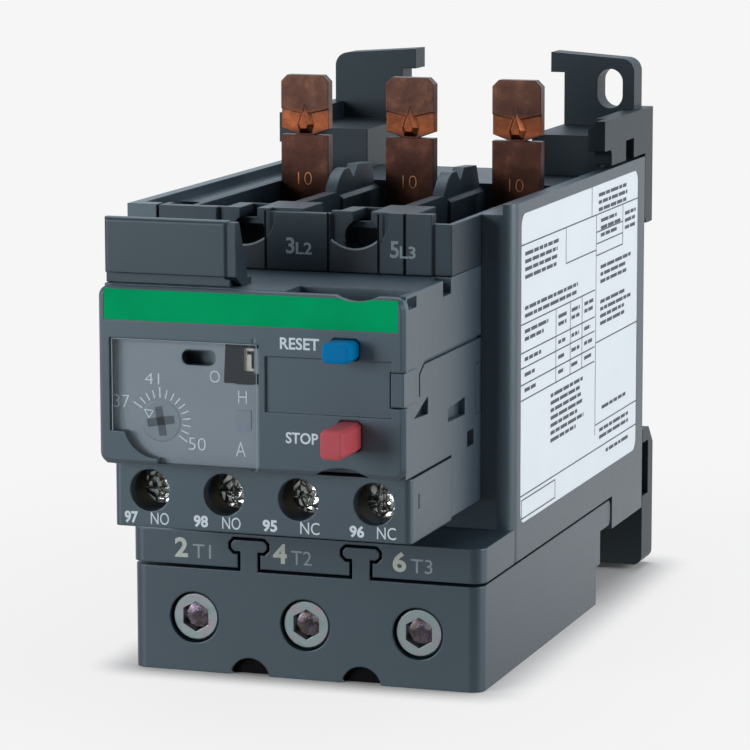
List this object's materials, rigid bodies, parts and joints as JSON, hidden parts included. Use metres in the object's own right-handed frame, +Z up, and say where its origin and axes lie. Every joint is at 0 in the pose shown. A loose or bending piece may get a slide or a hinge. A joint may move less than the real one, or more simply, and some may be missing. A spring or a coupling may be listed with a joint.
{
  "type": "thermal overload relay",
  "caption": "Plug-in thermal overload relay with copper line blades, hex-socket load clamps, a covered setting dial, stop and reset buttons and auxiliary screw terminals.",
  "frame": {"origin": "centre of the bounding box at the lower face", "axes": "+X to the right across the poles, +Y to the rear, +Z up towards the contactor"},
  "size_m": [0.055, 0.128, 0.0869],
  "materials": {
    "charcoal_polyamide": "fine moulded texture",
    "grey_polyamide": "fine moulded texture",
    "green_band": "satin print",
    "label_film": "satin film",
    "clear_polycarbonate": "polished, clear",
    "dial_grey": "smooth",
    "signal_blue": "satin",
    "signal_red": "satin",
    "beige_polyester": "moulded",
    "copper": "rolled, lightly tarnished",
    "tinned_copper": "tinned",
    "zinc_steel": "zinc plated",
    "bimetal": "rolled",
    "resistance_ribbon": "oxidised",
    "spring_steel": "drawn",
    "contact_brass": "stamped"
  },
  "bodies": {
    "root": {"main_housing": "charcoal_polyamide", "pole_shroud": "charcoal_polyamide", "terminal_block": "charcoal_polyamide", "rear_carrier": "charcoal_polyamide", "trip_module_case": "grey_polyamide", "aux_terminal_bar": "grey_polyamide", "front_cover": "grey_polyamide", "locating_flag": "grey_polyamide", "cover_band": "green_band", "side_label": "label_film", "compensation_strip": "bimetal", "reset_spring": "spring_steel", "stop_spring": "spring_steel", "contact_blade_1": "copper", "bimetal_strip_1": "bimetal", "heater_winding_1": "resistance_ribbon", "load_busbar_1": "tinned_copper", "contact_blade_2": "copper", "bimetal_strip_2": "bimetal", "heater_winding_2": "resistance_ribbon", "load_busbar_2": "tinned_copper", "contact_blade_3": "copper", "bimetal_strip_3": "bimetal", "heater_winding_3": "resistance_ribbon", "load_busbar_3": "tinned_copper", "aux_terminal_plate_1": "contact_brass", "aux_terminal_plate_2": "contact_brass", "aux_terminal_plate_3": "contact_brass", "aux_terminal_plate_4": "contact_brass"},
    "window": {"window_cover": "clear_polycarbonate"},
    "dial": {"setting_dial": "dial_grey"},
    "reset": {"reset_button": "signal_blue"},
    "stop": {"stop_button": "signal_red"},
    "trip_flag": {"test_slider": "beige_polyester"},
    "selector": {"mode_selector": "dial_grey"},
    "main_slide": {"trip_slide": "beige_polyester"},
    "phase_slide": {"differential_slide": "beige_polyester"},
    "lever": {"trip_lever": "beige_polyester"},
    "contacts": {"contact_carrier": "beige_polyester", "no_bridge": "contact_brass", "nc_bridge": "contact_brass"},
    "power_screw_body_1": {"power_screw_1": "zinc_steel"},
    "wire_clamp_body_1": {"wire_clamp_1": "zinc_steel"},
    "power_screw_body_2": {"power_screw_2": "zinc_steel"},
    "wire_clamp_body_2": {"wire_clamp_2": "zinc_steel"},
    "power_screw_body_3": {"power_screw_3": "zinc_steel"},
    "wire_clamp_body_3": {"wire_clamp_3": "zinc_steel"},
    "aux_clamp_body_1": {"aux_clamp_1": "zinc_steel"},
    "aux_screw_body_1": {"aux_screw_1": "zinc_steel"},
    "aux_clamp_body_2": {"aux_clamp_2": "zinc_steel"},
    "aux_screw_body_2": {"aux_screw_2": "zinc_steel"},
    "aux_clamp_body_3": {"aux_clamp_3": "zinc_steel"},
    "aux_screw_body_3": {"aux_screw_3": "zinc_steel"},
    "aux_clamp_body_4": {"aux_clamp_4": "zinc_steel"},
    "aux_screw_body_4": {"aux_screw_4": "zinc_steel"}
  },
  "joints": [
    {"name": "window_hinge", "type": "hinge", "parent": "root", "child": "window", "pos_m": [0.00065, -0.0555, 0.04445], "axis": [0, 0, 1], "range_deg": [0, 100]},
    {"name": "dial_turn", "type": "hinge", "parent": "root", "child": "dial", "pos_m": [-0.014, -0.05355, 0.0415], "axis": [0, 1, 0], "range_deg": [-25, 170]},
    {"name": "reset_press", "type": "slide", "parent": "root", "child": "reset", "axis": [0, 1, 0], "range_m": [0, 0.0025], "stiffness_N_per_m": 300, "springref_m": -0.001, "deforming": ["reset_spring"]},
    {"name": "stop_press", "type": "slide", "parent": "root", "child": "stop", "axis": [0, 1, 0], "range_m": [0, 0.0035], "stiffness_N_per_m": 300, "springref_m": -0.001, "deforming": ["stop_spring"]},
    {"name": "selector_slide", "type": "slide", "parent": "root", "child": "selector", "axis": [0, 0, -1], "range_m": [0, 0.0013]},
    {"name": "main_slide_travel", "type": "slide", "parent": "root", "child": "main_slide", "axis": [1, 0, 0], "range_m": [0, 0.0012], "stiffness_N_per_m": 50, "springref_m": -0.0005},
    {"name": "phase_slide_travel", "type": "slide", "parent": "root", "child": "phase_slide", "axis": [1, 0, 0], "range_m": [0, 0.0012]},
    {"name": "trip_flag_drop", "type": "slide", "parent": "root", "child": "trip_flag", "axis": [0, 0, -1], "range_m": [0, 0.0016]},
    {"name": "lever_pivot", "type": "hinge", "parent": "root", "child": "lever", "pos_m": [0.0202, -0.00955, 0.035], "axis": [0, 0, 1], "range_deg": [-4, 0]},
    {"name": "contact_travel", "type": "slide", "parent": "root", "child": "contacts", "axis": [-1, 0, 0], "range_m": [0, 0.00124]},
    {"name": "power_screw_turn_1", "type": "hinge", "parent": "root", "child": "power_screw_body_1", "pos_m": [-0.0175, -0.02555, 0.0082], "axis": [0, 1, 0], "range_deg": [0, 1981]},
    {"name": "wire_clamp_travel_1", "type": "slide", "parent": "root", "child": "wire_clamp_body_1", "axis": [0, -1, 0], "range_m": [0, 0.0055]},
    {"name": "power_screw_turn_2", "type": "hinge", "parent": "root", "child": "power_screw_body_2", "pos_m": [0, -0.02555, 0.0082], "axis": [0, 1, 0], "range_deg": [0, 1981]},
    {"name": "wire_clamp_travel_2", "type": "slide", "parent": "root", "child": "wire_clamp_body_2", "axis": [0, -1, 0], "range_m": [0, 0.0055]},
    {"name": "power_screw_turn_3", "type": "hinge", "parent": "root", "child": "power_screw_body_3", "pos_m": [0.0175, -0.02555, 0.0082], "axis": [0, 1, 0], "range_deg": [0, 1981]},
    {"name": "wire_clamp_travel_3", "type": "slide", "parent": "root", "child": "wire_clamp_body_3", "axis": [0, -1, 0], "range_m": [0, 0.0055]},
    {"name": "aux_clamp_travel_1", "type": "slide", "parent": "root", "child": "aux_clamp_body_1", "axis": [0, 1, 0], "range_m": [0, 0.0024]},
    {"name": "aux_screw_turn_1", "type": "hinge", "parent": "aux_clamp_body_1", "child": "aux_screw_body_1", "pos_m": [-0.01695, -0.04755, 0.0308], "axis": [0, 1, 0], "range_deg": [0, 1441]},
    {"name": "aux_clamp_travel_2", "type": "slide", "parent": "root", "child": "aux_clamp_body_2", "axis": [0, 1, 0], "range_m": [0, 0.0024]},
    {"name": "aux_screw_turn_2", "type": "hinge", "parent": "aux_clamp_body_2", "child": "aux_screw_body_2", "pos_m": [-0.00565, -0.04755, 0.0308], "axis": [0, 1, 0], "range_deg": [0, 1441]},
    {"name": "aux_clamp_travel_3", "type": "slide", "parent": "root", "child": "aux_clamp_body_3", "axis": [0, 1, 0], "range_m": [0, 0.0024]},
    {"name": "aux_screw_turn_3", "type": "hinge", "parent": "aux_clamp_body_3", "child": "aux_screw_body_3", "pos_m": [0.00565, -0.04755, 0.0308], "axis": [0, 1, 0], "range_deg": [0, 1441]},
    {"name": "aux_clamp_travel_4", "type": "slide", "parent": "root", "child": "aux_clamp_body_4", "axis": [0, 1, 0], "range_m": [0, 0.0024]},
    {"name": "aux_screw_turn_4", "type": "hinge", "parent": "aux_clamp_body_4", "child": "aux_screw_body_4", "pos_m": [0.01695, -0.04755, 0.0308], "axis": [0, 1, 0], "range_deg": [0, 1441]}
  ],
  "couplings": [
    {"joint": "phase_slide_travel", "follows": "main_slide_travel", "ratio": 1},
    {"joint": "trip_flag_drop", "follows": "main_slide_travel", "ratio": 1.3333},
    {"joint": "lever_pivot", "follows": "main_slide_travel", "rad_per_m": -57.143},
    {"joint": "contact_travel", "follows": "main_slide_travel", "ratio": 1.0286},
    {"joint": "power_screw_turn_1", "follows": "wire_clamp_travel_1", "rad_per_m": 6283.2},
    {"joint": "power_screw_turn_2", "follows": "wire_clamp_travel_2", "rad_per_m": 6283.2},
    {"joint": "power_screw_turn_3", "follows": "wire_clamp_travel_3", "rad_per_m": 6283.2},
    {"joint": "aux_screw_turn_1", "follows": "aux_clamp_travel_1", "rad_per_m": 10472},
    {"joint": "aux_screw_turn_2", "follows": "aux_clamp_travel_2", "rad_per_m": 10472},
    {"joint": "aux_screw_turn_3", "follows": "aux_clamp_travel_3", "rad_per_m": 10472},
    {"joint": "aux_screw_turn_4", "follows": "aux_clamp_travel_4", "rad_per_m": 10472}
  ]
}
